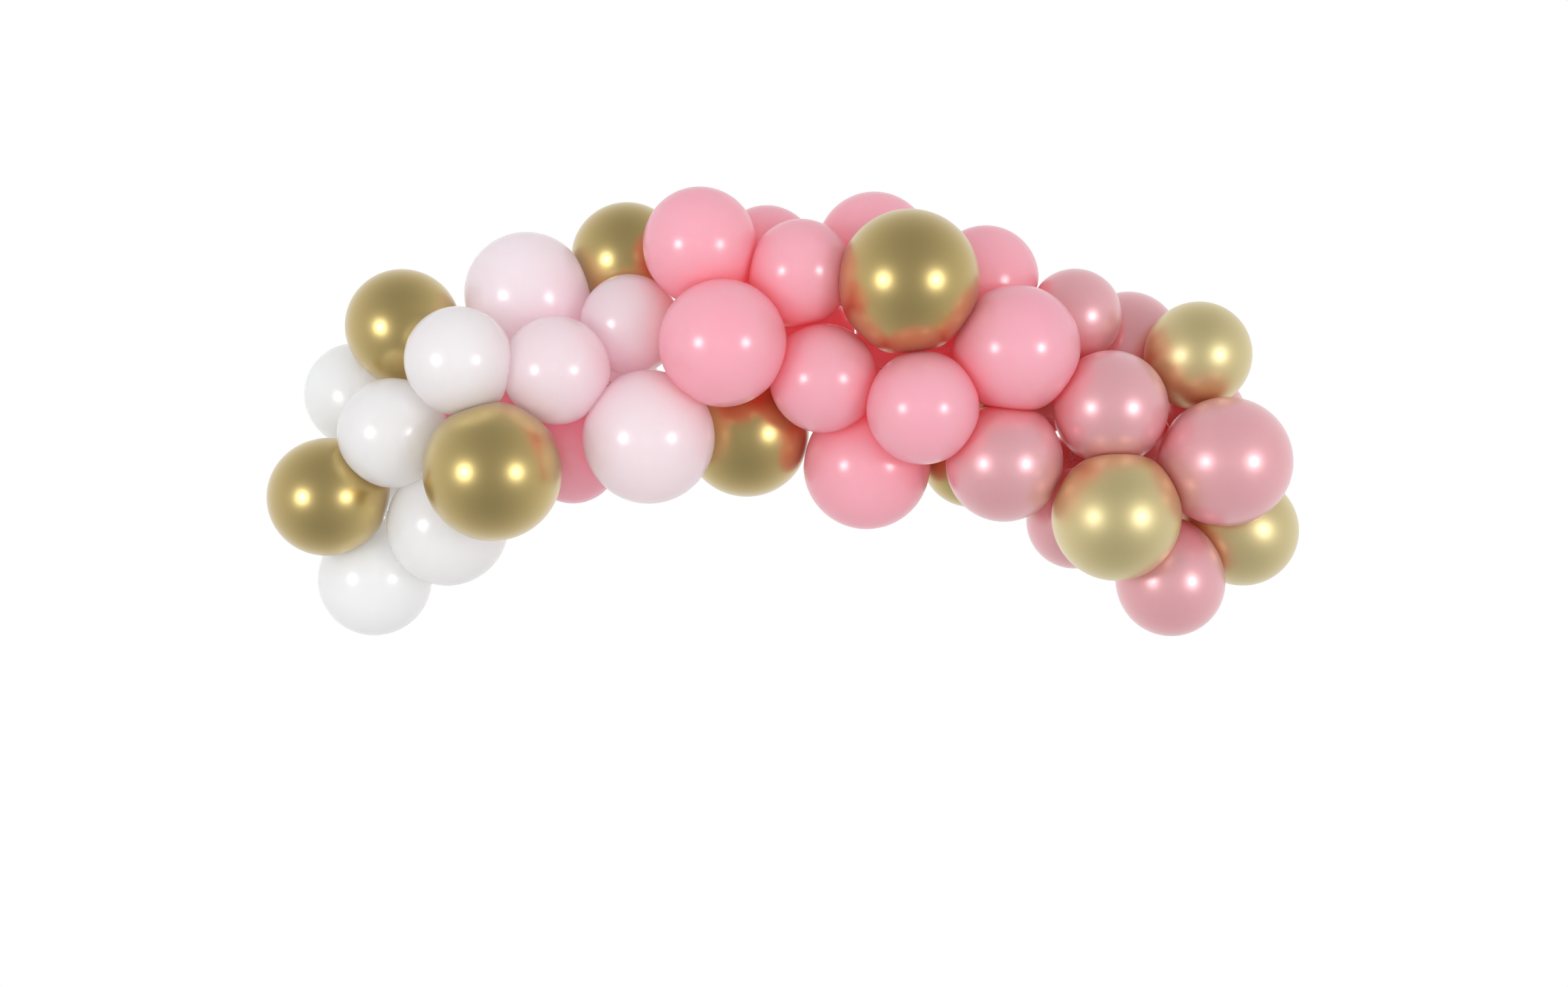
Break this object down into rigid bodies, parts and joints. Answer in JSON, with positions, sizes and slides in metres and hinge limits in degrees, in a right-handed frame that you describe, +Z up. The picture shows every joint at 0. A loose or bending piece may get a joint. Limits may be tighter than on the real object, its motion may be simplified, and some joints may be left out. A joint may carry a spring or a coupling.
{
  "type": "balloon garland",
  "caption": "Low hanging arch of tied latex balloons in white, gold, blush, pink and dusty rose, packed round one clear decorating strip.",
  "frame": {"origin": "middle of the hanging pad at the crown of the decorating strip, on the pad's underside, where a hook or a loop of line carries it", "axes": "+Z up, +X along the garland to the gold and rose end, -Y towards the viewer"},
  "size_m": [2.059, 0.6313, 0.9002],
  "materials": {
    "white_latex": "smooth white latex, soft gloss, a little light shines through",
    "gold_latex": "metallic gold latex with a soft mirror shine",
    "blush_latex": "pale pink latex, soft gloss, light shines through and deepens to pink",
    "pink_latex": "pink latex, soft gloss, light shines through and deepens to red in the gaps",
    "rose_latex": "dusty rose latex with a pearl sheen",
    "clear_strip": "thin clear plastic strip, glossy"
  },
  "bodies": {
    "root": {"decorating_strip": "clear_strip", "balloon_white_01": "white_latex", "balloon_white_02": "white_latex", "balloon_white_03": "white_latex", "balloon_white_04": "white_latex", "balloon_white_05": "white_latex", "balloon_white_06": "white_latex", "balloon_gold_01": "gold_latex", "balloon_gold_02": "gold_latex", "balloon_gold_03": "gold_latex", "balloon_gold_04": "gold_latex", "balloon_gold_05": "gold_latex", "balloon_gold_06": "gold_latex", "balloon_gold_07": "gold_latex", "balloon_gold_08": "gold_latex", "balloon_gold_09": "gold_latex", "balloon_gold_10": "gold_latex", "balloon_blush_01": "blush_latex", "balloon_blush_02": "blush_latex", "balloon_blush_03": "blush_latex", "balloon_blush_04": "blush_latex", "balloon_blush_05": "blush_latex", "balloon_pink_01": "pink_latex", "balloon_pink_02": "pink_latex", "balloon_pink_03": "pink_latex", "balloon_pink_04": "pink_latex", "balloon_pink_05": "pink_latex", "balloon_pink_06": "pink_latex", "balloon_pink_07": "pink_latex", "balloon_pink_08": "pink_latex", "balloon_pink_09": "pink_latex", "balloon_pink_10": "pink_latex", "balloon_pink_11": "pink_latex", "balloon_pink_12": "pink_latex", "balloon_pink_13": "pink_latex", "balloon_pink_14": "pink_latex", "balloon_pink_15": "pink_latex", "balloon_rose_01": "rose_latex", "balloon_rose_02": "rose_latex", "balloon_rose_03": "rose_latex", "balloon_rose_04": "rose_latex", "balloon_rose_05": "rose_latex", "balloon_rose_06": "rose_latex", "balloon_rose_07": "rose_latex", "balloon_rose_08": "rose_latex", "balloon_rose_09": "rose_latex", "balloon_rose_10": "rose_latex", "balloon_rose_11": "rose_latex"}
  },
  "joints": []
}
